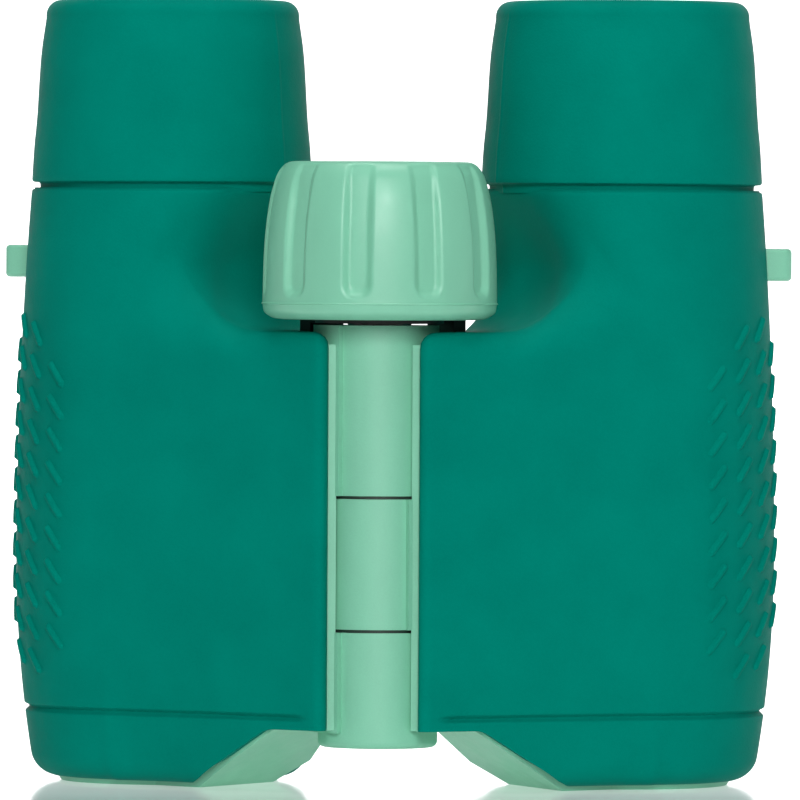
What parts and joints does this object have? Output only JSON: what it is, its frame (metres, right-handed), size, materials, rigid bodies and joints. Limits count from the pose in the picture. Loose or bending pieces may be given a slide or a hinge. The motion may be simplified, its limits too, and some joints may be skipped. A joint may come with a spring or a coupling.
{
  "type": "binoculars",
  "caption": "Compact roof-prism binoculars with rubber-armoured barrels, a centre hinge that folds and a grooved wheel that focuses both objectives.",
  "frame": {"origin": "middle of the footprint at the level of the objective rims", "axes": "+Z from the objectives to the eyepieces, +X toward the user's right-hand barrel as seen from the hinge side, -Y toward the hinge and focus wheel"},
  "size_m": [0.1008, 0.0576, 0.0996],
  "materials": {
    "green_rubber": "soft matt rubber armour",
    "mint_plastic": "satin moulded plastic",
    "wheel_plastic": "smooth satin rubberised plastic",
    "black_plastic": "matt black moulding",
    "coated_glass": "coated optical glass",
    "steel": "plated steel",
    "brass": "turned brass",
    "nylon": "black nylon"
  },
  "bodies": {
    "left_barrel": {"left_shell": "mint_plastic", "left_armour": "green_rubber", "left_eyecup": "green_rubber", "left_eyepiece_tube": "black_plastic", "left_eye_lens": "coated_glass", "left_field_lens": "coated_glass", "left_lens_spacer": "black_plastic", "left_eye_lens_ring": "black_plastic", "left_prism_holder": "black_plastic", "left_half_prism": "coated_glass", "left_roof_prism": "coated_glass", "left_field_stop": "black_plastic", "hinge_pin": "steel", "hinge_end_cap": "mint_plastic", "hinge_end_screw": "steel", "lower_hinge_washer": "nylon", "upper_hinge_washer": "nylon", "wheel_washer": "steel", "wheel_screw": "steel"},
    "right_barrel": {"right_shell": "mint_plastic", "right_armour": "green_rubber", "right_eyecup": "green_rubber", "right_eyepiece_tube": "black_plastic", "right_eye_lens": "coated_glass", "right_field_lens": "coated_glass", "right_lens_spacer": "black_plastic", "right_eye_lens_ring": "black_plastic", "right_prism_holder": "black_plastic", "right_half_prism": "coated_glass", "right_roof_prism": "coated_glass", "right_field_stop": "black_plastic"},
    "focus_wheel": {"focus_wheel": "wheel_plastic", "wheel_bush": "brass", "wheel_cap": "wheel_plastic"},
    "left_focus_slide": {"bridge_hub": "black_plastic", "left_focus_arm": "black_plastic", "left_focus_rod": "steel", "left_objective_cell": "black_plastic", "left_objective_lens": "coated_glass", "left_objective_ring": "black_plastic"},
    "right_focus_slide": {"right_focus_arm": "black_plastic", "right_focus_rod": "steel", "right_objective_cell": "black_plastic", "right_objective_lens": "coated_glass", "right_objective_ring": "black_plastic"}
  },
  "joints": [
    {"name": "hinge_fold", "type": "hinge", "parent": "left_barrel", "child": "right_barrel", "pos_m": [0, -0.01385, 0.03], "axis": [0, 0, -1], "range_deg": [-21.5, 31.2]},
    {"name": "wheel_turn", "type": "hinge", "parent": "left_barrel", "child": "focus_wheel", "pos_m": [0, -0.01385, 0.069], "axis": [0, 0, 1], "range_deg": [0, 300]},
    {"name": "left_focus_travel", "type": "slide", "parent": "left_barrel", "child": "left_focus_slide", "axis": [0, 0, 1], "range_m": [0, 0.002]},
    {"name": "right_focus_travel", "type": "slide", "parent": "right_barrel", "child": "right_focus_slide", "axis": [0, 0, 1], "range_m": [0, 0.002]}
  ],
  "couplings": [
    {"joint": "left_focus_travel", "follows": "wheel_turn", "m_per_rad": 0.00038},
    {"joint": "right_focus_travel", "follows": "wheel_turn", "m_per_rad": 0.00038}
  ]
}
